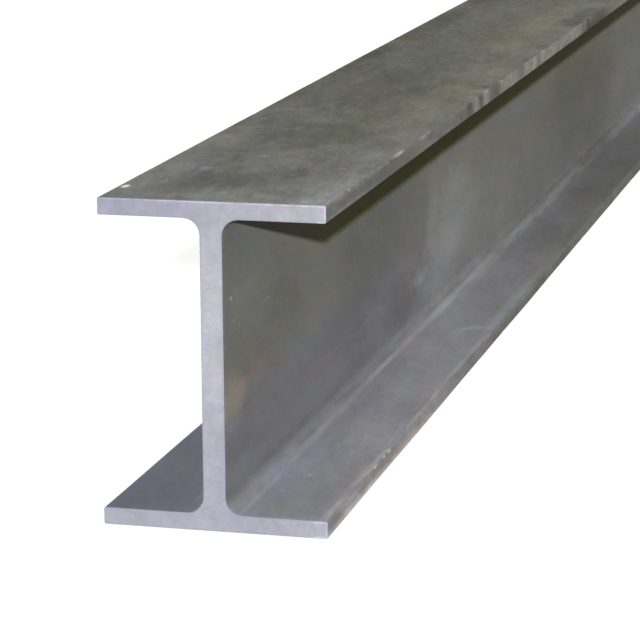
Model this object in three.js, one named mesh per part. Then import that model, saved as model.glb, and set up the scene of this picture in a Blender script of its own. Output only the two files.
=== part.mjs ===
import * as THREE from "three";

// A straight steel I-beam with parallel flanges, rolled in one piece and sawn square at both ends.
// Z is up and the length runs along Y. The origin is under the middle of the bar, on its underside.

// Driving dimensions, in millimetres.
const beamLength = 2000;
const beamDepth = 200; // from the underside to the top face
const flangeWidth = 139;
const flangeThickness = 10.5;
const webThickness = 13.6;
const rootRadius = 10; // fillet where the web runs into a flange
const toeRadius = 1; // slightly rounded edges of each flange toe
const arcSegments = 12; // straight steps on each quarter turn

const halfFlange = flangeWidth / 2;
const halfWeb = webThickness / 2;

// Draws a quarter turn that rounds the corner at (cornerX, cornerY). fromX, fromY and toX, toY are
// the directions, 1, 0 or -1, in which the outline arrives at the corner and leaves it.
function roundCorner(outline, cornerX, cornerY, radius, [fromX, fromY], [toX, toY]) {
  const centreX = cornerX + radius * (toX - fromX);
  const centreY = cornerY + radius * (toY - fromY);
  const startAngle = Math.atan2(-toY, -toX);
  const endAngle = Math.atan2(fromY, fromX);
  const clockwise = fromX * toY - fromY * toX < 0;
  outline.absarc(centreX, centreY, radius, startAngle, endAngle, clockwise);
}

// The section, anticlockwise from the middle of the underside, with Y as the height.
function beamSection() {
  const right = [1, 0];
  const left = [-1, 0];
  const up = [0, 1];
  const down = [0, -1];
  const lowerInner = flangeThickness;
  const upperInner = beamDepth - flangeThickness;
  const section = new THREE.Shape();
  section.moveTo(0, 0);
  roundCorner(section, halfFlange, 0, toeRadius, right, up);
  roundCorner(section, halfFlange, lowerInner, toeRadius, up, left);
  roundCorner(section, halfWeb, lowerInner, rootRadius, left, up);
  roundCorner(section, halfWeb, upperInner, rootRadius, up, right);
  roundCorner(section, halfFlange, upperInner, toeRadius, right, up);
  roundCorner(section, halfFlange, beamDepth, toeRadius, up, left);
  roundCorner(section, -halfFlange, beamDepth, toeRadius, left, down);
  roundCorner(section, -halfFlange, upperInner, toeRadius, down, right);
  roundCorner(section, -halfWeb, upperInner, rootRadius, right, down);
  roundCorner(section, -halfWeb, lowerInner, rootRadius, down, left);
  roundCorner(section, -halfFlange, lowerInner, toeRadius, left, down);
  roundCorner(section, -halfFlange, 0, toeRadius, down, right);
  section.closePath();
  return section;
}

// The section is drawn standing up and runs the bar's whole length.
function makeBeam() {
  const bar = new THREE.ExtrudeGeometry(beamSection(), {
    depth: beamLength,
    steps: 1,
    curveSegments: arcSegments / 2, // an arc gets two steps for each
    bevelEnabled: false,
  });
  const rolledSteel = new THREE.MeshStandardMaterial({
    color: 0x75756f,
    roughness: 0.55,
    metalness: 0.6,
  });
  const beam = new THREE.Mesh(bar, rolledSteel);
  beam.name = "i_beam";
  beam.rotation.x = Math.PI / 2;
  beam.position.y = beamLength / 2;
  return beam;
}

const group = new THREE.Group();
group.add(makeBeam());

export default group;
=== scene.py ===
import math
import random
import time

import bmesh
import bpy
from mathutils import Matrix, Vector, noise


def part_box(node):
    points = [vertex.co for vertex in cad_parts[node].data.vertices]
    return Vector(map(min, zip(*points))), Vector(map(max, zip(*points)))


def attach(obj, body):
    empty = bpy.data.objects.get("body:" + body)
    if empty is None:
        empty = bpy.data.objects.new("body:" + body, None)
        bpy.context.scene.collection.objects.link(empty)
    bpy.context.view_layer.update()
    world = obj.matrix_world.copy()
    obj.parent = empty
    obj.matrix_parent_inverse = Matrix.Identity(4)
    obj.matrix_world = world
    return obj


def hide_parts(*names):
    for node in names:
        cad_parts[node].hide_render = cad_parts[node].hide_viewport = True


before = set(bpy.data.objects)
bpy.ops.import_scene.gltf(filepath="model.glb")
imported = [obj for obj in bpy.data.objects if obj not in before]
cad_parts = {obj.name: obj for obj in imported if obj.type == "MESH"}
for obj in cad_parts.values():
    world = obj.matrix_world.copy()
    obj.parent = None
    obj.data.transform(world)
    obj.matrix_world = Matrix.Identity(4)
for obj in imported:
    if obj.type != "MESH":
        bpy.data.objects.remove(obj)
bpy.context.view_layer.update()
startTime = time.time()
hair = 1e-6  # places closer than this, in metres, count as the same


def tell(stage):
    print("steel beam:", stage, "after", round(time.time() - startTime, 1), "s")


# The bar's section as it leaves the rolls, in metres
bar = {
    "name": "rolled_beam",
    "node": "i_beam",
    "body": "root",
    "slot": "rolled_steel",
    "webThickness": 0.0136,
    "flangeThickness": 0.0105,
    "rootRadius": 0.010,
    "toeRadius": 0.001,
    "sawChamfer": 0.0005,  # where a file has broken the saw's arris
    "sawRim": 0.0008,  # and how far in from the sawn face's outline a highlight is painted
    "rootSteps": 5,
    "toeSteps": 2,
    "chamferSteps": 2,
    "flangeLoops": (0.0, 0.040, 0.060, 0.0679),  # loops across each flange, out from the web
    "webStrips": 5,
    "toeLoops": (0.0016, 0.0089),  # loops up each toe, from the flange's outer face
    "slices": 1050,
    "faceWave": 0.00009,  # how far the rolled faces are out of flat
    "faceWaveLength": 0.11,
    "toeWave": 0.00022,
    "toeWaveLength": 0.16,
    "toeWaveShift": Vector((0, 0, 7)),
    "toeRipple": 0.2,  # a share of the toes' wave
    "toeRippleLength": 0.011,
    "toeShare": 0.6,  # how much of a toe's rounded edge has the toe's finish
    "flatEnd": 0.99,  # a face that looks this far along the bar is a sawn end
    "sawnFace": 0.3,  # and this far, a sawn end or its chamfer
    "rolledFace": 0.5,  # a point whose normal leans this far off the bar's length is on a rolled face
}
barLow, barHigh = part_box(bar["node"])
barLength = barHigh.y - barLow.y
lowerShelf = barLow.z + bar["flangeThickness"]
upperShelf = barHigh.z - bar["flangeThickness"]


def spanAlong(edge):
    return abs(edge.verts[0].co.y - edge.verts[1].co.y)


def longEdges(mesh):
    return [e for e in mesh.edges if spanAlong(e) > barLength / 2]


def cutAcross(mesh, axis, place):
    normal = Vector((axis == "x", 0, axis == "z"))
    everything = mesh.verts[:] + mesh.edges[:] + mesh.faces[:]
    bmesh.ops.bisect_plane(mesh, geom=everything, dist=hair, plane_co=normal * place, plane_no=normal)


# The section's twelve corners as one face at the near end
def sketchSection(mesh):
    halfWeb = bar["webThickness"] / 2
    rightSide = [
        (barHigh.x, barLow.z), (barHigh.x, lowerShelf), (halfWeb, lowerShelf),
        (halfWeb, upperShelf), (barHigh.x, upperShelf), (barHigh.x, barHigh.z),
    ]
    leftSide = [(-x, z) for x, z in reversed(rightSide)]
    corners = [mesh.verts.new((x, barLow.y, z)) for x, z in rightSide + leftSide]
    return mesh.faces.new(corners)


def roundOff(mesh, edges, radius, steps):
    bmesh.ops.bevel(mesh, geom=edges, offset=radius, offset_type="OFFSET", affect="EDGES",
                    segments=steps, profile=0.5, material=-1)


# Lays a narrow loop inside each sawn end's outline, marked 1 on the outline and 0 inside
def rimEnds(mesh):
    rim = mesh.verts.layers.float.new("rim")
    mesh.normal_update()
    ends = [f for f in mesh.faces if abs(f.normal.y) > bar["flatEnd"]]
    for end in ends:
        for vert in end.verts:
            vert[rim] = 1
    bmesh.ops.inset_region(mesh, faces=ends, thickness=bar["sawRim"], use_even_offset=True)
    for end in ends:
        for vert in end.verts:
            vert[rim] = 0


def rollBar():
    mesh = bmesh.new()
    pushed = bmesh.ops.extrude_face_region(mesh, geom=[sketchSection(mesh)])
    farEnd = [g for g in pushed["geom"] if isinstance(g, bmesh.types.BMVert)]
    bmesh.ops.translate(mesh, verts=farEnd, vec=(0, barLength, 0))
    bmesh.ops.recalc_face_normals(mesh, faces=mesh.faces)

    roots = [e for e in longEdges(mesh) if abs(e.verts[0].co.x) < bar["webThickness"]]
    roundOff(mesh, roots, bar["rootRadius"], bar["rootSteps"])
    toes = [e for e in longEdges(mesh) if abs(e.verts[0].co.x) > barHigh.x - hair]
    roundOff(mesh, toes, bar["toeRadius"], bar["toeSteps"])
    sawnRims = [e for e in mesh.edges if spanAlong(e) < hair]
    roundOff(mesh, sawnRims, bar["sawChamfer"], bar["chamferSteps"])
    rimEnds(mesh)

    for place in bar["flangeLoops"]:
        cutAcross(mesh, "x", place)
        if place > 0:
            cutAcross(mesh, "x", -place)
    webFoot = lowerShelf + bar["rootRadius"]
    webHead = upperShelf - bar["rootRadius"]
    for strip in range(1, bar["webStrips"]):
        cutAcross(mesh, "z", webFoot + (webHead - webFoot) * strip / bar["webStrips"])
    for place in bar["toeLoops"]:
        cutAcross(mesh, "z", barLow.z + place)
        cutAcross(mesh, "z", barHigh.z - place)
    bmesh.ops.subdivide_edges(mesh, edges=longEdges(mesh), cuts=bar["slices"] - 1, use_grid_fill=True)
    bmesh.ops.recalc_face_normals(mesh, faces=mesh.faces)
    return mesh


# Which face of the section a point is on, as web, shelf (a flange's inner face) and toe
def findSkin(place):
    if abs(place.x) > barHigh.x - bar["toeShare"] * bar["toeRadius"]:
        return (0, 0, 1)
    if place.z < lowerShelf - hair or place.z > upperShelf + hair:
        return (0, 0, 0)
    climb = min(place.z - lowerShelf, upperShelf - place.z) / bar["rootRadius"]
    web = max(0, min(1, climb))
    return (web, 1 - web, 0)


# What the toes have met. A gouge dents a toe's outer arris, a rub only brightens an arris and flattens
# it. side and level say which flange tip, along is the distance from the near end, inner is the arris
# that looks towards the other flange
toeScars = {
    "gouges": [
        {"side": 1, "level": 1, "along": 0.427, "length": 0.026, "depth": 0.0012},
        {"side": 1, "level": 1, "along": 0.467, "length": 0.024, "depth": 0.0014},
        {"side": 1, "level": 1, "along": 0.520, "length": 0.040, "depth": 0.0013},
        {"side": 1, "level": 1, "along": 0.655, "length": 0.040, "depth": 0.0009},
        {"side": 1, "level": 1, "along": 0.765, "length": 0.030, "depth": 0.0010},
        {"side": 1, "level": 1, "along": 0.912, "length": 0.050, "depth": 0.0013},
        {"side": 1, "level": 1, "along": 0.975, "length": 0.050, "depth": 0.0012},
        {"side": 1, "level": 1, "along": 1.045, "length": 0.080, "depth": 0.0015},
        {"side": -1, "level": 1, "along": 1.560, "length": 0.040, "depth": 0.0010},
        {"side": -1, "level": -1, "along": 1.420, "length": 0.050, "depth": 0.0012},
        {"side": 1, "level": -1, "along": 1.740, "length": 0.036, "depth": 0.0008},
    ],
    "tipFrom": 0.055,  # a flange tip begins this far from the bar's middle
    "gougeDrop": 0.0095,  # how far down the toe a gouge fades out
    "gougeInland": 0.007,
    "gougeSink": 0.5,  # a gouge sinks half as far as it goes in
    "rubs": [
        {"side": 1, "level": 1, "inner": False, "along": 0.058, "length": 0.010, "shine": 0.50},
        {"side": 1, "level": 1, "inner": False, "along": 0.158, "length": 0.022, "shine": 0.22},
        {"side": 1, "level": 1, "inner": False, "along": 0.192, "length": 0.052, "shine": 0.54},
        {"side": 1, "level": 1, "inner": False, "along": 0.283, "length": 0.020, "shine": 0.30},
        {"side": 1, "level": 1, "inner": False, "along": 0.446, "length": 0.012, "shine": 0.25},
        {"side": 1, "level": 1, "inner": False, "along": 0.489, "length": 0.016, "shine": 0.40},
        {"side": 1, "level": 1, "inner": False, "along": 0.730, "length": 0.036, "shine": 0.28},
        {"side": 1, "level": 1, "inner": True, "along": 0.094, "length": 0.014, "shine": 0.60},
        {"side": 1, "level": -1, "inner": True, "along": 0.125, "length": 0.012, "shine": 0.90},
        {"side": 1, "level": -1, "inner": True, "along": 0.150, "length": 0.011, "shine": 0.75},
        {"side": 1, "level": -1, "inner": True, "along": 0.164, "length": 0.011, "shine": 0.85},
    ],
    "rubDepth": 0.0004,
    "rubReach": 0.0018,
    "rubPlateau": 1.2,  # over 1, a rub's middle is evenly bright
    "strayRubs": 60,
    "strayMargin": 0.02,
    "strayInner": 0.4,
    "strayLength": (0.010, 0.050),
    "strayShine": (0.08, 0.26),
    "arrisShine": 0.04,
    "arrisReach": 1.01,  # in toe radii
    "seed": 27,
}


def strayRubs():
    pick = random.Random(toeScars["seed"])
    margin = toeScars["strayMargin"]
    found = []
    for _ in range(toeScars["strayRubs"]):
        found.append({
            "side": pick.choice((-1, 1)),
            "level": pick.choice((-1, 1)),
            "inner": pick.random() < toeScars["strayInner"],
            "along": pick.uniform(margin, barLength - margin),
            "length": pick.uniform(*toeScars["strayLength"]),
            "shine": pick.uniform(*toeScars["strayShine"]),
        })
    return found


def isOnTip(place, scar):
    return place.x * scar["side"] > toeScars["tipFrom"] and (place.z - barHigh.z / 2) * scar["level"] > 0


# How far a point of the section is from the arris that a rub is on
def gapToArris(place, rub):
    arrisZ = barHigh.z if rub["level"] > 0 else barLow.z
    if rub["inner"]:
        arrisZ -= rub["level"] * bar["flangeThickness"]
    return math.hypot(place.x - rub["side"] * barHigh.x, place.z - arrisZ)


# A scar's strength along the bar, 1 in its middle and 0 past its ends
def bellAlong(place, scar):
    step = (place.y - barLow.y - scar["along"]) / (scar["length"] / 2)
    return (1 - step * step) ** 2 if abs(step) < 1 else 0.0


# A gouge presses the outer arris in and fades out down the toe and inland
def gougeToe(vert, gouge):
    inland = (barHigh.x - abs(vert.co.x)) / toeScars["gougeInland"]
    drop = min(vert.co.z, barHigh.z - vert.co.z) / toeScars["gougeDrop"]
    if inland > 1 or drop > 1 or not isOnTip(vert.co, gouge):
        return
    push = gouge["depth"] * bellAlong(vert.co, gouge) * (1 - max(0, inland)) ** 2 * (1 - max(0, drop))
    vert.co.x -= gouge["side"] * push
    vert.co.z -= gouge["level"] * toeScars["gougeSink"] * push


# How bright handling has left an arris here, 0 off the arrises
def findWear(place, rubs):
    fromTip = barHigh.x - abs(place.x)
    height = min(place.z, barHigh.z - place.z)
    fromCorner = min(height, abs(height - bar["flangeThickness"]))
    if max(fromTip, fromCorner) > bar["toeRadius"] * toeScars["arrisReach"]:
        return 0.0
    shine = toeScars["arrisShine"]
    for rub in rubs:
        if isOnTip(place, rub) and gapToArris(place, rub) < toeScars["rubReach"]:
            shine = max(shine, rub["shine"] * min(1.0, toeScars["rubPlateau"] * bellAlong(place, rub)))
    return shine


# How far a rolled face stands out from true here
def findWave(place, onToe):
    wave = bar["faceWave"] * noise.noise(place / bar["faceWaveLength"])
    if onToe:
        wave += bar["toeWave"] * noise.noise(place / bar["toeWaveLength"] + bar["toeWaveShift"])
        wave += bar["toeRipple"] * bar["toeWave"] * noise.noise(place / bar["toeRippleLength"])
    return wave


def wearBar(mesh):
    worn = mesh.verts.layers.float.new("worn")
    skin = mesh.verts.layers.float_color.new("skin")
    mesh.normal_update()
    rubs = toeScars["rubs"] + strayRubs()
    for vert in mesh.verts:
        web, shelf, toe = findSkin(vert.co)
        vert[skin] = (web, shelf, toe, 1)
        vert[worn] = findWear(vert.co, rubs)
        outward = Vector((vert.normal.x, 0, vert.normal.z))
        if outward.length < bar["rolledFace"]:
            continue
        outward.normalize()
        rubbed = toeScars["rubDepth"] * max(0, vert[worn] - toeScars["arrisShine"])
        vert.co += outward * (findWave(vert.co, toe) - rubbed)
        if abs(vert.co.x) > toeScars["tipFrom"]:
            for gouge in toeScars["gouges"]:
                gougeToe(vert, gouge)


mesh = rollBar()
tell("bar rolled with %d faces" % len(mesh.faces))
wearBar(mesh)
tell("toes scarred")
barMesh = bpy.data.meshes.new(bar["name"])
mesh.to_mesh(barMesh)
mesh.free()
beam = bpy.data.objects.new(bar["name"], barMesh)
bpy.context.scene.collection.objects.link(beam)

softness = {
    "noiseSpan": (0.28, 0.72),  # nearly all of a noise's grey lies between these
    "speckCore": 0.3,  # the part of a speck's radius that has its full strength
    "patchEdge": 0.75,  # the part of a patch's reach over which it fades out
}


# Short ways to lay out a finish's nodes
def add(tree, kind, inputs=None, **settings):
    made = tree.nodes.new(kind)
    for name, value in settings.items():
        setattr(made, name, value)
    for name, value in (inputs or {}).items():
        if isinstance(value, bpy.types.NodeSocket):
            tree.links.new(value, made.inputs[name])
        else:
            made.inputs[name].default_value = value
    return made


def calc(tree, operation, first, second=0.0, third=0.0):
    inputs = {0: first, 1: second}
    if operation == "MULTIPLY_ADD":
        inputs[2] = third
    return add(tree, "ShaderNodeMath", inputs, operation=operation).outputs[0]


def times(tree, first, *others):
    for other in others:
        first = calc(tree, "MULTIPLY", first, other)
    return first


# Adds up (value, amount) pairs from a start
def total(tree, pairs, start=0.0):
    summed = start
    for value, amount in pairs:
        summed = calc(tree, "MULTIPLY_ADD", value, amount, summed)
    return summed


def remap(tree, value, low, high, toLow=0.0, toHigh=1.0, smooth=True):
    kind = "SMOOTHSTEP" if smooth else "LINEAR"
    inputs = {"Value": value, "From Min": low, "From Max": high, "To Min": toLow, "To Max": toHigh}
    return add(tree, "ShaderNodeMapRange", inputs, interpolation_type=kind).outputs["Result"]


# 0, 6 and 7 are a colour Mix's factor and its two colours
def blend(tree, factor, below, above, kind="MIX"):
    made = add(tree, "ShaderNodeMix", data_type="RGBA", blend_type=kind, clamp_factor=True)
    for socket, value in ((0, factor), (6, below), (7, above)):
        if isinstance(value, bpy.types.NodeSocket):
            tree.links.new(value, made.inputs[socket])
        else:
            made.inputs[socket].default_value = value if socket == 0 else (*value, 1)
    return made.outputs[2]


def join(tree, x, y, z=0.0):
    return add(tree, "ShaderNodeCombineXYZ", {0: x, 1: y, 2: z}).outputs[0]


def split(tree, vector):
    return add(tree, "ShaderNodeSeparateXYZ", {0: vector}).outputs


def readMark(tree, name, output="Fac"):
    return add(tree, "ShaderNodeAttribute", attribute_name=name).outputs[output]


def shadeBy(tree, tone, shade):
    return blend(tree, 1.0, tone, join(tree, shade, shade, shade), "MULTIPLY")


# A texture's own space, whose unit is size metres, times stretch along x, y and z
def spread(tree, where, size, stretch, shift):
    scale = tuple(1 / (size * s) for s in stretch)
    inputs = {"Vector": where, "Location": (shift,) * 3, "Scale": scale}
    return add(tree, "ShaderNodeMapping", inputs).outputs[0]


def cloud(tree, where, size, detail=3.0, roughness=0.55, stretch=(1, 1, 1), shift=0.0):
    moved = spread(tree, where, size, stretch, shift)
    inputs = {"Vector": moved, "Scale": 1.0, "Detail": detail, "Roughness": roughness}
    return add(tree, "ShaderNodeTexNoise", inputs)


# A noise's grey from -1 to 1
def swing(tree, where, size, **settings):
    grey = cloud(tree, where, size, **settings).outputs[0]
    return remap(tree, grey, *softness["noiseSpan"], -1, 1, smooth=False)


# Moves a place by a noise's grey, up to half of reach either way
def wander(tree, value, drift, reach):
    return calc(tree, "MULTIPLY_ADD", drift, reach, calc(tree, "SUBTRACT", value, reach / 2))


# Small round specks of a random few cells, 1 in their middle
def specks(tree, where, spacing, size, share, stretch, shift):
    moved = spread(tree, where, spacing, stretch, shift)
    cells = add(tree, "ShaderNodeTexVoronoi", {"Vector": moved, "Scale": 1.0})
    chance = add(tree, "ShaderNodeSeparateColor", {0: cells.outputs["Color"]}).outputs[0]
    chosen = calc(tree, "LESS_THAN", chance, share)
    radius = size / spacing
    spot = remap(tree, cells.outputs["Distance"], radius, softness["speckCore"] * radius)
    return times(tree, spot, chosen)


# A soft-edged patch in a face's own two directions
def softPatch(tree, flat, centre, reach, amount):
    inputs = {"Vector": flat, "Location": (*centre, 0), "Scale": (*reach, 1)}
    moved = add(tree, "ShaderNodeMapping", inputs, vector_type="TEXTURE").outputs[0]
    fall = add(tree, "ShaderNodeTexGradient", {"Vector": moved}, gradient_type="SPHERICAL").outputs["Fac"]
    return remap(tree, fall, 0.0, softness["patchEdge"], 0.0, amount)


# Turns a tone a little between two tints, once for each pair
def turnHues(tree, look, tone, where):
    for shift, warm, cool in look["hues"]:
        hue = swing(tree, where, shift=shift, **look["hueNoise"])
        turn = remap(tree, hue, -1, 1, smooth=False)
        tone = blend(tree, 1.0, tone, blend(tree, turn, warm, cool), "MULTIPLY")
    return tone


def startFinish(name, specular, dryness=0.0):
    material = bpy.data.materials.new(name)
    material.use_nodes = True
    tree = material.node_tree
    shader = tree.nodes["Principled BSDF"]
    shader.inputs["Specular IOR Level"].default_value = specular
    shader.inputs["Diffuse Roughness"].default_value = dryness
    return material, tree, shader


def endFinish(tree, shader, tone, height, relief):
    tree.links.new(tone, shader.inputs["Base Color"])
    bump = add(tree, "ShaderNodeBump", {"Height": height, "Distance": relief, "Strength": 1.0})
    tree.links.new(bump.outputs[0], shader.inputs["Normal"])


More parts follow.
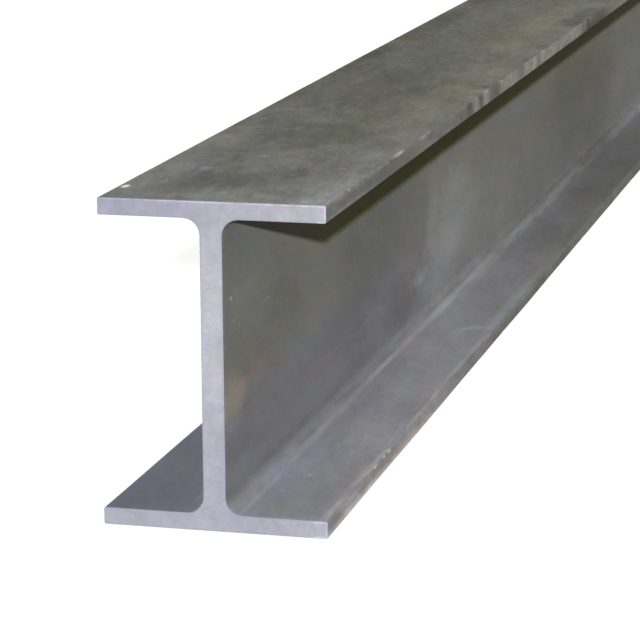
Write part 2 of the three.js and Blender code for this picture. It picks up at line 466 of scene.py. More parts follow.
# Patches as (tint, amount, across, along, reach across, reach along). Across is x on the top, the
# distance from the bar's middle on the shelves, and z on the web and toes. On the sawn ends the two
# are x and z
patches = {
    "top": [
        ("dark", 0.62, -0.014, 0.072, 0.038, 0.046),
        ("dark", 0.50, 0.024, 0.108, 0.020, 0.028),
        ("dark", 0.30, -0.032, 0.240, 0.022, 0.050),
        ("dark", 0.75, 0.008, 0.262, 0.038, 0.074),
        ("dark", 0.30, -0.041, 0.300, 0.020, 0.040),
        ("dark", 0.38, -0.006, 0.520, 0.032, 0.200),
        ("dark", 0.55, -0.002, 0.203, 0.022, 0.030),
        ("dark", 0.36, 0.051, 0.212, 0.016, 0.036),
        ("dark", 0.52, -0.012, 0.300, 0.017, 0.026),
        ("dark", 0.28, 0.041, 0.295, 0.014, 0.034),
        ("dark", 0.25, 0.032, 0.950, 0.012, 0.024),
        ("dark", 0.55, -0.056, 1.100, 0.022, 0.060),
        ("dark", 0.70, -0.062, 0.640, 0.018, 0.140),
        ("dark", 0.70, -0.060, 0.900, 0.026, 0.200),
        # these six paint shade where the gouges dent the right arris
        ("dark", 0.70, 0.066, 1.020, 0.022, 0.080),
        ("dark", 0.60, 0.067, 0.466, 0.006, 0.012),
        ("dark", 0.70, 0.062, 0.510, 0.009, 0.022),
        ("dark", 1.00, 0.059, 0.940, 0.016, 0.050),
        ("dark", 0.60, 0.058, 0.989, 0.010, 0.022),
        ("dark", 0.50, 0.064, 0.760, 0.010, 0.024),
        ("pale", 0.75, 0.015, 0.010, 0.090, 0.028),
        ("pale", 0.50, 0.037, 0.050, 0.015, 0.022),
        ("pale", 0.55, -0.024, 0.012, 0.014, 0.022),
        ("pale", 0.35, 0.054, 0.014, 0.024, 0.022),
        ("pale", 0.30, -0.034, 0.075, 0.012, 0.030),
        ("pale", 0.32, 0.020, 0.530, 0.014, 0.050),
        ("pale", 0.28, 0.028, 0.700, 0.012, 0.040),
        ("pale", 0.70, 0.010, 0.022, 0.034, 0.034),
        ("pale", 0.95, 0.064, 0.050, 0.028, 0.110),
        ("pale", 0.90, 0.067, 0.020, 0.018, 0.110),
        ("pale", 0.20, -0.060, 0.030, 0.022, 0.050),
        ("pale", 0.75, -0.058, 0.085, 0.026, 0.085),
        ("pale", 0.70, -0.060, 0.235, 0.020, 0.070),
        ("pale", 0.50, -0.058, 0.400, 0.014, 0.070),
        ("pale", 0.25, 0.052, 0.150, 0.028, 0.070),
        ("pale", 0.55, 0.044, 0.352, 0.028, 0.036),
        ("pale", 0.60, 0.042, 0.590, 0.036, 0.085),
        ("pale", 0.60, -0.053, 0.625, 0.009, 0.044),
        ("pale", 0.45, -0.056, 0.950, 0.009, 0.032),
        ("pale", 0.65, 0.052, 0.430, 0.034, 0.220),
        ("pale", 0.50, 0.066, 0.480, 0.012, 0.200),
        ("pale", 0.90, 0.048, 0.880, 0.044, 0.420),
        # these two paint light where the gouges dent the right arris
        ("pale", 0.50, 0.067, 0.446, 0.006, 0.012),
        ("pale", 0.60, 0.067, 0.490, 0.008, 0.014),
        ("fleck", 0.22, 0.0682, 0.192, 0.0018, 0.0220),
        ("pale", 0.60, 0.066, 0.728, 0.010, 0.022),
        ("blue", 0.45, -0.050, 0.128, 0.018, 0.028),
        ("olive", 0.30, -0.012, 0.087, 0.016, 0.016),
        ("olive", 0.35, 0.006, 0.270, 0.036, 0.150),
        ("olive", 0.40, -0.062, 0.600, 0.016, 0.260),
        ("straw", 0.45, 0.040, 0.350, 0.026, 0.110),
        ("straw", 0.45, 0.049, 0.500, 0.022, 0.170),
        ("straw", 0.55, 0.036, 0.870, 0.034, 0.260),
        ("chip", 1.00, -0.0644, 0.039, 0.0034, 0.0074),
        ("fleck", 0.28, -0.0127, 0.164, 0.0045, 0.0045),
        ("fleck", 0.32, -0.0345, 0.112, 0.0060, 0.0045),
        ("fleck", 0.25, 0.0245, 0.098, 0.0035, 0.0045),
        ("fleck", 0.25, -0.0557, 0.322, 0.0040, 0.0060),
        ("fleck", 0.25, 0.0486, 0.126, 0.0040, 0.0045),
        ("fleck", 0.18, -0.0480, 0.367, 0.0200, 0.0060),
    ],
    "web": [
        ("rust", 0.50, 0.080, 0.050, 0.019, 0.064),
        ("rust", 0.30, 0.088, 0.072, 0.014, 0.050),
        ("pale", 0.28, 0.080, 0.050, 0.016, 0.056),
        ("pale", 0.12, 0.072, 0.004, 0.018, 0.022),
        ("straw", 0.60, 0.072, 0.026, 0.016, 0.032),
        ("pale", 0.85, 0.076, 0.018, 0.028, 0.036),
        ("rust", 0.30, 0.111, 0.170, 0.010, 0.046),
        ("rust", 0.30, 0.090, 0.235, 0.010, 0.070),
        ("rust", 0.30, 0.099, 0.122, 0.008, 0.034),
        ("rust", 0.25, 0.103, 0.810, 0.022, 0.140),
        ("rust", 0.15, 0.080, 1.020, 0.018, 0.200),
        ("rust", 0.30, 0.082, 1.459, 0.026, 0.220),
        ("rust", 0.25, 0.112, 0.560, 0.012, 0.110),
        ("blue", 0.20, 0.157, 0.060, 0.016, 0.040),
        # painted shadow colour: reddens the shade under the top flange by the near end
        ("rust", 0.85, 0.161, 0.150, 0.018, 0.060),
        ("pale", 0.95, 0.078, 0.675, 0.052, 0.118),
        ("pale", 0.85, 0.038, 0.628, 0.042, 0.112),
        ("pale", 0.45, 0.082, 0.585, 0.046, 0.034),
        ("pale", 1.00, 0.046, 0.530, 0.011, 0.044),
        ("pale", 0.50, 0.040, 0.820, 0.060, 0.200),
        ("pale", 0.30, 0.048, 0.330, 0.005, 0.160),
        ("pale", 0.42, 0.027, 0.045, 0.012, 0.090),
        ("pale", 0.30, 0.131, 0.042, 0.018, 0.034),
        ("dark", 0.48, 0.108, 0.410, 0.050, 0.220),
        ("dark", 0.30, 0.060, 0.330, 0.030, 0.180),
        ("dark", 0.20, 0.110, 0.140, 0.050, 0.080),
        ("dark", 0.45, 0.042, 0.475, 0.028, 0.080),
        ("dark", 0.45, 0.013, 0.210, 0.012, 0.200),
        ("dark", 0.20, 0.024, 0.330, 0.010, 0.110),
        ("dark", 0.48, 0.070, 1.330, 0.090, 0.320),
        ("dark", 0.16, 0.024, 1.420, 0.014, 0.160),
        ("olive", 0.45, 0.110, 1.300, 0.040, 0.300),
        ("teal", 0.40, 0.031, 0.579, 0.014, 0.060),
        ("teal", 0.35, 0.035, 0.201, 0.010, 0.040),
        ("fleck", 0.55, 0.139, 0.018, 0.0018, 0.0040),
        ("fleck", 0.22, 0.124, 0.024, 0.0016, 0.0040),
        ("fleck", 0.16, 0.122, 0.097, 0.0014, 0.0160),
    ],
    "shelf": [
        ("blue", 0.32, 0.024, 0.090, 0.017, 0.130),
        ("teal", 0.26, 0.021, 0.105, 0.012, 0.060),
        ("teal", 0.50, 0.050, 0.043, 0.018, 0.050),
        ("teal", 0.45, 0.040, 0.140, 0.014, 0.040),
        ("dark", 0.34, 0.0344, 0.090, 0.0026, 0.0060),
        ("rust", 0.55, 0.0344, 0.090, 0.0034, 0.0080),
        ("fleck", 0.30, 0.0340, 0.096, 0.0022, 0.0040),
        ("fleck", 0.06, 0.0130, 0.200, 0.0022, 0.0500),
        ("fleck", 0.18, 0.0134, 0.385, 0.0024, 0.0720),
        ("fleck", 0.18, 0.0150, 0.582, 0.0045, 0.0800),
        ("fleck", 0.08, 0.0665, 0.028, 0.0050, 0.0400),
        ("fleck", 0.12, 0.0655, 0.640, 0.0080, 0.1700),
        ("dark", 0.16, 0.068, 0.325, 0.006, 0.150),
        ("olive", 0.30, 0.068, 0.325, 0.006, 0.150),
        ("dark", 0.18, 0.021, 0.480, 0.010, 0.050),
        ("pale", 0.60, 0.055, 0.525, 0.018, 0.016),
        ("dark", 0.42, 0.018, 0.290, 0.024, 0.240),
        ("dark", 0.24, 0.045, 0.900, 0.035, 0.090),
        ("dark", 0.36, 0.067, 0.930, 0.011, 0.130),
        ("dark", 0.60, 0.0115, 1.410, 0.010, 0.190),
        ("pale", 0.60, 0.014, 0.700, 0.016, 0.160),
        ("pale", 0.42, 0.0225, 1.080, 0.013, 0.230),
        # this darkening of the far shelf is partly the scale's own colour and partly painted sheen fading
        # along the bar
        ("dark", 0.80, 0.045, 1.310, 0.080, 0.560),
        ("olive", 0.50, 0.066, 1.080, 0.013, 0.450),
    ],
    "highToe": [
        # the first two paint highlights along the toe's upper and lower arrises by the near end
        ("pale", 1.00, 0.2000, 0.060, 0.0042, 0.130),
        ("pale", 0.90, 0.1903, 0.060, 0.0035, 0.130),
        ("pale", 0.25, 0.198, 0.020, 0.006, 0.040),
        ("dark", 0.34, 0.194, 0.190, 0.020, 0.080),
        ("dark", 0.18, 0.2000, 0.720, 0.0030, 0.320),
        # from here on, many of the pale and dark bars across the toe paint the light on the gouges' slopes
        # that face the near end and the shade on those facing away, over the dents' own shading
        ("dark", 0.40, 0.195, 0.421, 0.020, 0.016),
        ("pale", 0.50, 0.195, 0.446, 0.020, 0.012),
        ("dark", 0.80, 0.195, 0.466, 0.020, 0.012),
        ("pale", 0.85, 0.195, 0.487, 0.020, 0.013),
        ("dark", 0.60, 0.194, 0.522, 0.020, 0.026),
        ("pale", 0.95, 0.194, 0.574, 0.020, 0.054),
        ("pale", 0.90, 0.196, 0.668, 0.018, 0.040),
        ("pale", 0.85, 0.195, 0.735, 0.020, 0.070),
        ("pale", 1.00, 0.195, 0.845, 0.020, 0.105),
        ("pale", 0.95, 0.197, 0.954, 0.012, 0.011),
        ("pale", 0.95, 0.197, 0.986, 0.012, 0.010),
        ("dark", 0.80, 0.196, 0.969, 0.012, 0.008),
        ("pale", 0.60, 0.197, 0.688, 0.012, 0.009),
        ("pale", 0.60, 0.197, 0.728, 0.012, 0.009),
        ("dark", 0.45, 0.196, 0.707, 0.012, 0.010),
        ("dark", 0.35, 0.195, 0.630, 0.020, 0.018),
        ("dark", 0.65, 0.194, 0.946, 0.012, 0.024),
        ("dark", 0.60, 0.195, 0.428, 0.016, 0.010),
        ("dark", 0.85, 0.193, 0.980, 0.020, 0.036),
        ("dark", 0.95, 0.194, 1.045, 0.020, 0.070),
        ("dark", 0.45, 0.194, 1.005, 0.012, 0.080),
        ("dark", 0.90, 0.1905, 1.010, 0.0050, 0.090),
        ("plum", 0.80, 0.198, 0.288, 0.006, 0.014),
        ("plum", 0.80, 0.197, 0.418, 0.010, 0.016),
        ("plum", 0.60, 0.197, 0.468, 0.010, 0.010),
        ("blue", 0.40, 0.196, 0.080, 0.012, 0.030),
    ],
    "lowToe": [
        ("pale", 1.00, 0.0005, 0.130, 0.0050, 0.340),
        ("pale", 0.80, 0.0010, 0.080, 0.0050, 0.160),
        ("pale", 0.80, 0.0055, 0.060, 0.0060, 0.034),
        ("pale", 0.50, 0.0100, 0.060, 0.0030, 0.080),
        ("pale", 0.70, 0.0060, 0.250, 0.0120, 0.050),
        ("pale", 0.95, 0.0096, 0.700, 0.0050, 0.260),
        ("rust", 0.35, 0.004, 0.200, 0.014, 0.120),
        ("rust", 0.30, 0.005, 0.036, 0.012, 0.028),
        ("olive", 0.15, 0.005, 0.090, 0.012, 0.050),
        ("olive", 0.20, 0.007, 0.427, 0.012, 0.060),
        ("plum", 0.30, 0.0095, 0.180, 0.0035, 0.090),
        ("dark", 0.35, 0.005, 0.012, 0.012, 0.018),
    ],
    "sawn": [
        ("dull", 0.75, -0.040, 0.195, 0.060, 0.020),
        ("light", 0.95, 0.000, 0.125, 0.030, 0.080),
        ("light", 0.50, 0.060, 0.197, 0.040, 0.012),
        ("dull", 0.35, 0.000, 0.006, 0.110, 0.014),
        ("warm", 0.50, -0.010, 0.188, 0.016, 0.012),
        ("light", 0.40, 0.062, 0.004, 0.026, 0.012),
    ],
}
patchTints = {
    "dark": (0.55, 0.55, 0.53),
    "pale": (1.36, 1.36, 1.38),
    "blue": (0.92, 1.00, 1.20),
    "teal": (0.86, 1.05, 1.06),
    "olive": (0.95, 1.00, 0.74),
    "straw": (1.10, 1.05, 0.86),
    "rust": (1.20, 0.97, 0.88),
    "plum": (0.82, 0.74, 0.88),
    # fleck marks small nicks, partly bared steel and partly painted glints where they catch the light
    "fleck": (2.60, 2.60, 2.60),
    "chip": (4.20, 4.25, 4.50),
    "dull": (0.84, 0.86, 0.93),
    "light": (1.15, 1.15, 1.11),
    "warm": (1.02, 0.97, 0.92),
}
crispTints = ("fleck", "chip")  # patches whose outlines don't wander


# bent is the face's flat place with its wander
def layPatches(tree, tone, face, flat, bent):
    for tint, amount, across, along, reachAcross, reachAlong in patches[face]:
        where = flat if tint in crispTints else bent
        factor = softPatch(tree, where, (across, along), (reachAcross, reachAlong), amount)
        tone = blend(tree, factor, tone, patchTints[tint], "MULTIPLY")
    return tone


# Mill scale on the rolled faces. A face's tints are linear colours: by the near end, further on, and the
# distances between which one turns into the other. Where a near tint is paler, the turn is partly the
# scale's own colour and partly
# painted light: it stands in for light falling off along the bar and, on the shelves, for sheen. Of two
# amounts, the first is for the outer faces and the second for the web and shelves
scaleLook = {
    "name": "mill_scale",
    "faces": {
        "top": ((0.167, 0.171, 0.154), (0.1185, 0.1210, 0.0990), 0.12, 0.50),
        "underside": ((0.150, 0.150, 0.140), (0.140, 0.140, 0.130), 0.20, 1.00),
        "web": ((0.171, 0.174, 0.152), (0.145, 0.145, 0.124), 0.70, 1.30),
        "webFoot": ((0.177, 0.178, 0.184), (0.161, 0.164, 0.149), 0.35, 0.85),
        "farWeb": ((0.156, 0.157, 0.148), (0.166, 0.164, 0.152), 0.30, 1.20),
        "shelf": ((0.322, 0.321, 0.336), (0.215, 0.216, 0.213), 0.10, 0.88),
        "farShelf": ((0.171, 0.176, 0.205), (0.175, 0.174, 0.178), 0.20, 0.90),
        "ceiling": ((0.150, 0.146, 0.130), (0.145, 0.142, 0.126), 0.20, 0.90),
        "highToe": ((0.162, 0.163, 0.144), (0.186, 0.182, 0.154), 0.10, 0.55),
        "lowToe": ((0.278, 0.272, 0.262), (0.144, 0.146, 0.126), 0.12, 0.72),
        "farToe": ((0.190, 0.188, 0.178), (0.175, 0.173, 0.160), 0.20, 0.90),
    },
    "webFootLevel": (0.095, 0.055),
    "wander": {"along": 0.070, "top": 0.030, "web": 0.026, "shelf": 0.016, "toe": 0.012},
    "noises": {
        "ragged": {"size": 0.022, "detail": 4.0, "roughness": 0.65, "stretch": (1, 2, 1)},
        "broad": {"size": 0.13, "stretch": (1, 3.0, 1)},
        "blotch": {"size": 0.028, "detail": 5.0, "roughness": 0.62, "stretch": (1, 4.0, 1), "shift": 3.1},
        "fleck": {"size": 0.0060, "detail": 4.0, "roughness": 0.65, "stretch": (1, 4.0, 1), "shift": 5.7},
        "grain": {"size": 0.0018, "detail": 2.0, "stretch": (1, 3.6, 1), "shift": 1.9},
        "rollMarks": {"size": 0.008, "stretch": (1, 26, 1), "shift": 9.2},
        "broken": {"size": 0.0045, "detail": 4.0, "roughness": 0.6, "stretch": (1, 14, 1), "shift": 21.0},
        "bloom": {"size": 0.075, "detail": 4.0, "stretch": (1, 1.8, 1), "shift": 15.0},
        "breaks": {"size": 0.0050, "stretch": (1, 3.0, 1), "shift": 2.0},
    },
    "slant": 0.17,  # the scale's clouds lie a little aslant of the bar's length
    "shares": {"broad": 0.12, "blotch": 0.26, "fleck": 0.17, "grain": 0.08, "rollMarks": 0.05},
    "mottle": {"outer": 1.0, "web": 0.36, "shelf": 0.42, "toe": 0.90},
    "relief": 0.00032,
    "reliefShares": {"blotch": 0.5, "fleck": 0.15, "grain": 0.03},
    "hueNoise": {"size": 0.022, "detail": 4.0, "roughness": 0.7, "stretch": (1, 4.0, 1)},
    "hues": (  # between olive and slate, then between pink and green, each with its noise's shift
        (12.5, (1.02, 1.00, 0.93), (0.98, 1.00, 1.07)),
        (21.5, (1.028, 0.991, 1.009), (0.972, 1.009, 0.991)),
    ),
    # lines out from the web's middle: the crease where a root meets its flange, the root itself, the seam
    # between them and the root's back. Each turns from near to far over a stretch of the bar
    "rootLines": (
        {"from": 0.0138, "to": 0.0172, "soft": 0.0007, "near": 0.12, "far": 0.05, "turn": (0.10, 0.60)},
        {"from": 0.0086, "to": 0.0118, "soft": 0.0010, "near": 0.16, "far": -0.20, "turn": (0.03, 0.20)},
        {"from": 0.0126, "to": 0.0144, "soft": 0.0006, "near": 0.0, "far": 0.08, "turn": (0.12, 0.22),
         "fade": (0.85, 0.60)},
        {"from": 0.0110, "to": 0.0205, "soft": 0.0025, "near": 0.0, "far": 0.25, "turn": (0.60, 1.00)},
    ),
    # the paler strip along the right shelves' tips
    "lip": {"from": 0.0622, "to": 0.0676, "ragged": 0.0012, "near": 0.33, "far": 0.02,
            "turn": (0.25, 0.65)},
    "lineBreaks": (-0.8, 0.6, 0.0, 1.4),
    # painted shadow colour: the brown of the shade under the top flange, from the shadow's lower edge on
    # the web upwards
    "shadeTint": {"level": 0.1235, "soft": 0.009, "near": (1.12, 1.04, 0.62), "far": (0.76, 0.715, 0.37),
              "otherSide": 0.3, "wander": 0.008, "wanderAlong": 0.060, "begins": (0.12, 0.30),
              "deepens": (0.20, 0.65)},
    "sawHeat": {"reach": 0.011, "full": 0.002, "ragged": 0.003, "tint": (1.06, 1.04, 1.20)},
    "rustTint": (1.30, 0.98, 0.76),
    "bloom": 0.12,
    "bloomSpan": (0.15, 0.9),
    "freckles": {"spacing": 0.011, "size": 0.0020, "share": 0.14, "stretch": (1, 1.8, 1), "shift": 2.2},
    "freckled": (0.22, 0.10),  # outer, inner
    # pale flecks: small nicks, partly bared steel and partly painted glints
    "glintFlecks": {"spacing": 0.016, "size": 0.0018, "share": 0.10, "stretch": (1, 2.4, 1), "shift": 7.7},
    "glinted": (0.15, 0.03),
    "glintTint": (2.0, 2.0, 2.0),
    "bareTint": (0.50, 0.49, 0.47),
    "bareSpan": (0.06, 0.90),  # from where wear shows to where the steel is bare
    "breakDepth": (0.14, 0.07),
    "roughness": 0.7,
    "bareRoughness": 0.42,
    "specular": 0.03,
    "dryness": 0.3,
}


# Where a point is: runs is the distance from the near end on the right side and from the far end on the
# left, so that the patches of the two sides don't lie face to face
def findPlace(tree, look):
    place = add(tree, "ShaderNodeTexCoord").outputs["Object"]
    x, y, z = split(tree, place)
    web, shelf, toe = add(tree, "ShaderNodeSeparateColor", {0: readMark(tree, "skin", "Color")}).outputs
    along = calc(tree, "SUBTRACT", y, barLow.y)
    fromFarEnd = calc(tree, "SUBTRACT", barLength, along)
    ahead = calc(tree, "SUBTRACT", along, fromFarEnd)
    rightSide = calc(tree, "GREATER_THAN", x, 0.0)
    slantX = calc(tree, "MULTIPLY_ADD", along, look["slant"], x)
    slantZ = calc(tree, "MULTIPLY_ADD", along, look["slant"], z)
    return {
        "place": place, "x": x, "z": z, "along": along, "fromFarEnd": fromFarEnd,
        "runs": calc(tree, "MULTIPLY_ADD", rightSide, ahead, fromFarEnd),
        "out": calc(tree, "ABSOLUTE", x),
        "aslant": join(tree, slantX, along, slantZ),
        "drift": split(tree, cloud(tree, place, **look["noises"]["ragged"]).outputs["Color"]),
        "broken": swing(tree, place, **look["noises"]["broken"]),
        "rightSide": rightSide,
        "upperHalf": calc(tree, "GREATER_THAN", z, barHigh.z / 2),
        "web": web, "shelf": shelf, "toe": toe, "inner": calc(tree, "ADD", web, shelf),
    }


# The tone of each face, with its patches
def layFaces(tree, look, at):
    driftX, driftY, driftZ = at["drift"]
    reach = look["wander"]
    bentAlong = wander(tree, at["along"], driftY, reach["along"])
    bentRuns = wander(tree, at["runs"], driftY, reach["along"])
    topFlat = join(tree, at["x"], at["along"])
    topBent = join(tree, wander(tree, at["x"], driftX, reach["top"]), bentAlong)
    webFlat = join(tree, at["z"], at["runs"])
    webBent = join(tree, wander(tree, at["z"], driftZ, reach["web"]), bentRuns)
    shelfFlat = join(tree, at["out"], at["runs"])
    shelfBent = join(tree, wander(tree, at["out"], driftX, reach["shelf"]), bentRuns)
    toeBent = join(tree, at["z"], wander(tree, at["runs"], driftY, reach["toe"]))

    def faceTone(name):
        near, far, start, finish = look["faces"][name]
        return blend(tree, remap(tree, at["along"], start, finish), near, far)

    top = layPatches(tree, faceTone("top"), "top", topFlat, topBent)
    outer = blend(tree, at["upperHalf"], faceTone("underside"), top)

    foot = remap(tree, at["z"], *look["webFootLevel"])
    rightWeb = blend(tree, foot, faceTone("web"), faceTone("webFoot"))
    web = blend(tree, at["rightSide"], faceTone("farWeb"), rightWeb)
    web = layPatches(tree, web, "web", webFlat, webBent)

    shelf = blend(tree, at["rightSide"], faceTone("farShelf"), faceTone("shelf"))
    shelf = layPatches(tree, shelf, "shelf", shelfFlat, shelfBent)
    shelf = blend(tree, at["upperHalf"], shelf, faceTone("ceiling"))

    highToe = layPatches(tree, faceTone("highToe"), "highToe", webFlat, toeBent)
    lowToe = layPatches(tree, faceTone("lowToe"), "lowToe", webFlat, toeBent)
    rightToe = blend(tree, at["upperHalf"], lowToe, highToe)
    toe = blend(tree, at["rightSide"], faceTone("farToe"), rightToe)

    tone = blend(tree, at["web"], outer, web)
    tone = blend(tree, at["shelf"], tone, shelf)
    return blend(tree, at["toe"], tone, toe)


# Paints the brown colour of the shade under the top flange into the ceiling and the upper part of the web:
# painted shadow colour, more on the right. On each side it begins a little way in from the end that runs
# counts from
def paintWebShade(tree, look, at, tone):
    shadeTint = look["shadeTint"]
    height = wander(tree, at["z"], at["drift"][2], shadeTint["wander"])
    above = remap(tree, height, shadeTint["level"], shadeTint["level"] + shadeTint["soft"])
    share = remap(tree, at["rightSide"], 0.0, 1.0, shadeTint["otherSide"], 1.0)
    bentRuns = wander(tree, at["runs"], at["drift"][1], shadeTint["wanderAlong"])
    shadeTinted = times(tree, share, remap(tree, bentRuns, *shadeTint["begins"]), above, at["inner"])
    shadeBrown = blend(tree, remap(tree, at["runs"], *shadeTint["deepens"]), shadeTint["near"], shadeTint["far"])
    return blend(tree, shadeTinted, tone, shadeBrown, "MULTIPLY")


# Scale grows unevenly, in clouds of four sizes and in streaks left by the rolls. Gives its shade and
# its relief
def growScale(tree, look, at):
    mottle = look["mottle"]
    weights = [(at[face], mottle[face] - mottle["outer"]) for face in ("web", "shelf", "toe")]
    strength = total(tree, weights, mottle["outer"])
    clouds = {}
    for name in look["shares"]:
        where = at["place"] if name == "rollMarks" else at["aslant"]
        clouds[name] = swing(tree, where, **look["noises"][name])

    def mix(shares):
        return total(tree, [(clouds[name], share) for name, share in shares.items()])

    shade = calc(tree, "MULTIPLY_ADD", mix(look["shares"]), strength, 1.0)
    return shade, times(tree, mix(look["reliefShares"]), strength)


# Along the roots, and the tips of the right shelves, run lighter and darker lines, broken here and there
def drawLines(tree, look, at):
    def strengthOf(line):
        turn = remap(tree, at["runs"], *line["turn"])
        if "fade" in line:
            turn = times(tree, turn, remap(tree, at["runs"], *line["fade"]))
        return calc(tree, "MULTIPLY_ADD", turn, line["far"] - line["near"], line["near"])

    lines = []
    for line in look["rootLines"]:
        rise = remap(tree, at["out"], line["from"] - line["soft"], line["from"] + line["soft"])
        fall = remap(tree, at["out"], line["to"] + line["soft"], line["to"] - line["soft"])
        lines.append((times(tree, rise, fall), strengthOf(line)))
    lip = look["lip"]
    raggedOut = calc(tree, "MULTIPLY_ADD", at["broken"], lip["ragged"], at["out"])
    strip = times(tree, remap(tree, raggedOut, lip["from"], lip["to"]), at["rightSide"])
    lines.append((strip, strengthOf(lip)))
    return times(tree, total(tree, lines), remap(tree, at["broken"], *look["lineBreaks"]), at["shelf"])


# Rust blooms in faint areas and in freckles, pale flecks are small nicks, partly bared steel and partly
# painted glints where they catch the light, and the saw's heat has coloured the ends
def rustAndHeat(tree, look, at, tone):
    bloom = remap(tree, swing(tree, at["place"], **look["noises"]["bloom"]), *look["bloomSpan"])
    freckles = specks(tree, at["place"], **look["freckles"])
    freckled = remap(tree, at["inner"], 0.0, 1.0, *look["freckled"], smooth=False)
    rust = total(tree, ((bloom, look["bloom"]), (freckles, freckled)))
    tone = blend(tree, rust, tone, look["rustTint"], "MULTIPLY")
    glintFlecks = specks(tree, at["place"], **look["glintFlecks"])
    glinted = times(tree, glintFlecks, remap(tree, at["inner"], 0.0, 1.0, *look["glinted"]))
    tone = blend(tree, glinted, tone, look["glintTint"], "MULTIPLY")
    heat = look["sawHeat"]
    fromEnd = calc(tree, "MINIMUM", at["along"], at["fromFarEnd"])
    raggedEnd = calc(tree, "MULTIPLY_ADD", at["broken"], heat["ragged"], fromEnd)
    return blend(tree, remap(tree, raggedEnd, heat["reach"], heat["full"]), tone, heat["tint"], "MULTIPLY")


# Where rubbing has bared the steel, with a broken outline
def findBare(tree, look, at):
    breaks = swing(tree, at["place"], **look["noises"]["breaks"])
    depth = remap(tree, at["inner"], 0.0, 1.0, *look["breakDepth"], smooth=False)
    wear = calc(tree, "MULTIPLY_ADD", breaks, depth, readMark(tree, "worn"))
    return remap(tree, wear, *look["bareSpan"], smooth=False)


def millScale(look):
    material, tree, shader = startFinish(look["name"], look["specular"], look["dryness"])
    at = findPlace(tree, look)
    tone = paintWebShade(tree, look, at, layFaces(tree, look, at))
    shade, height = growScale(tree, look, at)
    tone = shadeBy(tree, tone, calc(tree, "ADD", shade, drawLines(tree, look, at)))
    tone = turnHues(tree, look, tone, at["aslant"])
    tone = rustAndHeat(tree, look, at, tone)
    bare = findBare(tree, look, at)
    tone = blend(tree, bare, tone, look["bareTint"])
    rough = remap(tree, bare, 0.0, 1.0, look["roughness"], look["bareRoughness"], smooth=False)
    tree.links.new(rough, shader.inputs["Roughness"])
    endFinish(tree, shader, tone, height, look["relief"])
    return material


# The sawn ends are bare steel
sawnLook = {
    "name": "sawn_steel",
    "tint": (0.338, 0.340, 0.368),
    "wander": {"x": 0.020, "z": 0.012},
    "noises": {
        "ragged": {"size": 0.010, "detail": 4.0, "roughness": 0.65},
        "patchy": {"size": 0.012, "detail": 5.0, "roughness": 0.6},
        "fine": {"size": 0.0024, "shift": 4.0},
        "sawLines": {"size": 0.0012, "detail": 2.0, "stretch": (40, 40, 1), "shift": 1.0},
    },
    "sawTilt": 8.0,  # degrees the saw's marks lean
    "shares": {"patchy": 0.10, "fine": 0.06, "sawLines": 0.025},
    "relief": 0.00005,
    "reliefShares": {"sawLines": 0.6, "fine": 0.5},
    "hueNoise": {"size": 0.009},
    "hues": (
        (8.0, (1.03, 1.00, 0.95), (0.97, 1.00, 1.05)),
        (15.0, (1.025, 0.985, 1.015), (0.975, 1.015, 0.985)),
    ),
    "rimHighlightShare": 0.45,  # the highlight painted along the sawn face's outline, brightest at the top and on the right, where the key falls
    "rimLeast": -0.2,
    "rimTop": (0.188, 0.198),
    "rimRight": (0.055, 0.066),
    "rimBreaks": (-0.7, 0.5, 0.2, 1.2),
    "roughness": 0.5,
    "specular": 0.2,
    "dryness": 0.3,
}


def sawnSteel(look):
    material, tree, shader = startFinish(look["name"], look["specular"], look["dryness"])
    noises = look["noises"]
    place = add(tree, "ShaderNodeTexCoord").outputs["Object"]
    x, _, z = split(tree, place)
    driftX, _, driftZ = split(tree, cloud(tree, place, **noises["ragged"]).outputs["Color"])
    bentX = wander(tree, x, driftX, look["wander"]["x"])
    bent = join(tree, bentX, wander(tree, z, driftZ, look["wander"]["z"]))
    tone = layPatches(tree, look["tint"], "sawn", bent, bent)

    lean = (0, math.radians(look["sawTilt"]), 0)
    leaning = add(tree, "ShaderNodeMapping", {"Vector": place, "Rotation": lean}).outputs[0]
    clouds = {
        "patchy": swing(tree, place, **noises["patchy"]),
        "fine": swing(tree, place, **noises["fine"]),
        "sawLines": swing(tree, leaning, **noises["sawLines"]),
    }
    most = calc(tree, "MAXIMUM", remap(tree, z, *look["rimTop"]), remap(tree, x, *look["rimRight"]))
    breaks = remap(tree, clouds["patchy"], *look["rimBreaks"])
    rimHighlight = times(tree, readMark(tree, "rim"), breaks, remap(tree, most, 0.0, 1.0, look["rimLeast"], 1.0))
    shades = [(clouds[name], share) for name, share in look["shares"].items()]
    shade = total(tree, shades + [(rimHighlight, look["rimHighlightShare"])], 1.0)
    tone = turnHues(tree, look, shadeBy(tree, tone, shade), place)
    shader.inputs["Roughness"].default_value = look["roughness"]
    height = total(tree, [(clouds[name], share) for name, share in look["reliefShares"].items()])
    endFinish(tree, shader, tone, height, look["relief"])
    return material


barMesh.materials.append(millScale(scaleLook))
barMesh.materials.append(sawnSteel(sawnLook))
for face in barMesh.polygons:
    sawn = abs(face.normal.y) > bar["sawnFace"]
    face.material_index = 1 if sawn else 0
    face.use_smooth = not sawn

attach(beam, bar["body"])
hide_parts(bar["node"])
tell("finishes laid")

view = {
    "place": (0.45525, -2.51318, 0.48470),
    "turn": 14.437,  # degrees to the left of the bar's length
    "tilt": 12.697,  # degrees down
    "roll": -0.384,
    "lens": 155.2,
    "sensor": 36,
    "clip": (0.05, 100),
}


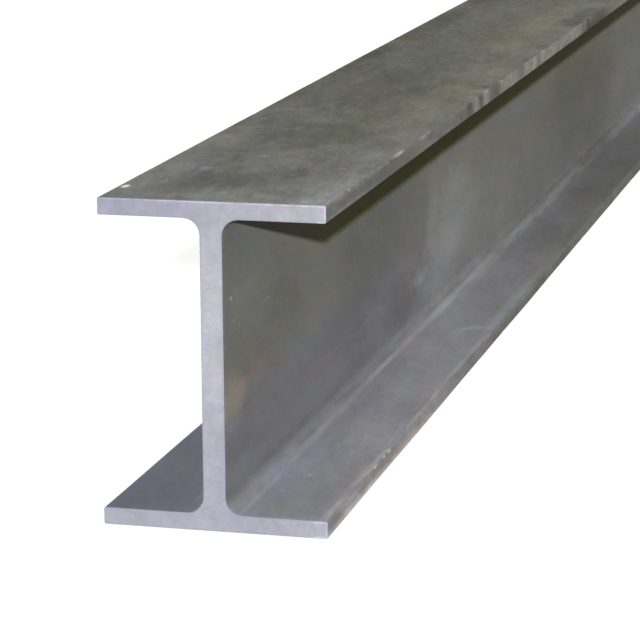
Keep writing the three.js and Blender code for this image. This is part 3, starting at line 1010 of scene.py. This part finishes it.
def aimCamera():
    data = bpy.data.cameras.new("camera")
    data.lens = view["lens"]
    data.sensor_width = view["sensor"]
    data.clip_start, data.clip_end = view["clip"]
    camera = bpy.data.objects.new("camera", data)
    bpy.context.scene.collection.objects.link(camera)
    turn = Matrix.Rotation(math.radians(view["turn"]), 4, "Z")
    tilt = Matrix.Rotation(math.radians(90 - view["tilt"]), 4, "X")
    roll = Matrix.Rotation(math.radians(view["roll"]), 4, "Z")
    camera.matrix_world = Matrix.Translation(view["place"]) @ turn @ tilt @ roll
    bpy.context.scene.camera = camera


# The key stands close beside the camera, and a low lamp behind lights the far sides
studio = {
    "lamps": {
        "key": {"from": (0.2427, -0.9408, 0.2362), "strength": 1.28, "spread": 1.0,
                "colour": (1.0, 1.0, 1.09)},
        "rear": {"from": (-0.80, 0.60, 0.052), "strength": 1.20, "spread": 14.0,
                 "colour": (1.0, 1.0, 1.04)},
    },
    "skyLight": 0.165,
    "skyColour": (1.0, 0.94, 0.66),
    "backdropColour": (1, 1, 1),
    "floorSize": 30.0,
    "floorDrop": 0.0003,  # keeps the floor just clear of the bar's underside
    "floorColour": (0.38, 0.38, 0.38, 1),
    "floorRoughness": 0.9,
    "floorGlow": 0.86,
    "glowColour": (1, 1, 1, 1),
}


def hangLamps():
    for name, lamp in studio["lamps"].items():
        data = bpy.data.lights.new(name, "SUN")
        data.energy = lamp["strength"] * math.pi
        data.angle = math.radians(lamp["spread"])
        data.color = lamp["colour"]
        sun = bpy.data.objects.new(name, data)
        bpy.context.scene.collection.objects.link(sun)
        sun.rotation_euler = (-Vector(lamp["from"])).to_track_quat("-Z", "Y").to_euler()


# 1 for what the camera, a reflection or glass looks at, 0 for light that falls on things
def seenDirectly(tree):
    path = add(tree, "ShaderNodeLightPath")
    seen = path.outputs["Is Camera Ray"]
    for kind in ("Is Glossy Ray", "Is Transmission Ray"):
        seen = calc(tree, "MAXIMUM", seen, path.outputs[kind])
    return seen


def lightWorld():
    world = bpy.data.worlds.new("studio")
    world.use_nodes = True
    tree = world.node_tree
    background = tree.nodes["Background"]
    seen = seenDirectly(tree)
    colour = blend(tree, seen, studio["skyColour"], studio["backdropColour"])
    tree.links.new(colour, background.inputs["Color"])
    strength = remap(tree, seen, 0.0, 1.0, studio["skyLight"], 1.0, smooth=False)
    tree.links.new(strength, background.inputs["Strength"])
    bpy.context.scene.world = world


def layFloor():
    sheet = bmesh.new()
    bmesh.ops.create_grid(sheet, x_segments=1, y_segments=1, size=studio["floorSize"] / 2)
    bmesh.ops.translate(sheet, verts=sheet.verts, vec=(0, 0, -studio["floorDrop"]))
    data = bpy.data.meshes.new("floor")
    sheet.to_mesh(data)
    sheet.free()
    floor = bpy.data.objects.new("floor", data)
    bpy.context.scene.collection.objects.link(floor)
    material, tree, shader = startFinish("pale_floor", 0.0)
    shader.inputs["Base Color"].default_value = studio["floorColour"]
    shader.inputs["Roughness"].default_value = studio["floorRoughness"]
    shader.inputs["Emission Color"].default_value = studio["glowColour"]
    glow = times(tree, seenDirectly(tree), studio["floorGlow"])
    tree.links.new(glow, shader.inputs["Emission Strength"])
    data.materials.append(material)


aimCamera()
hangLamps()
lightWorld()
layFloor()
bpy.context.scene.view_settings.view_transform = "Standard"
tell("stage set")
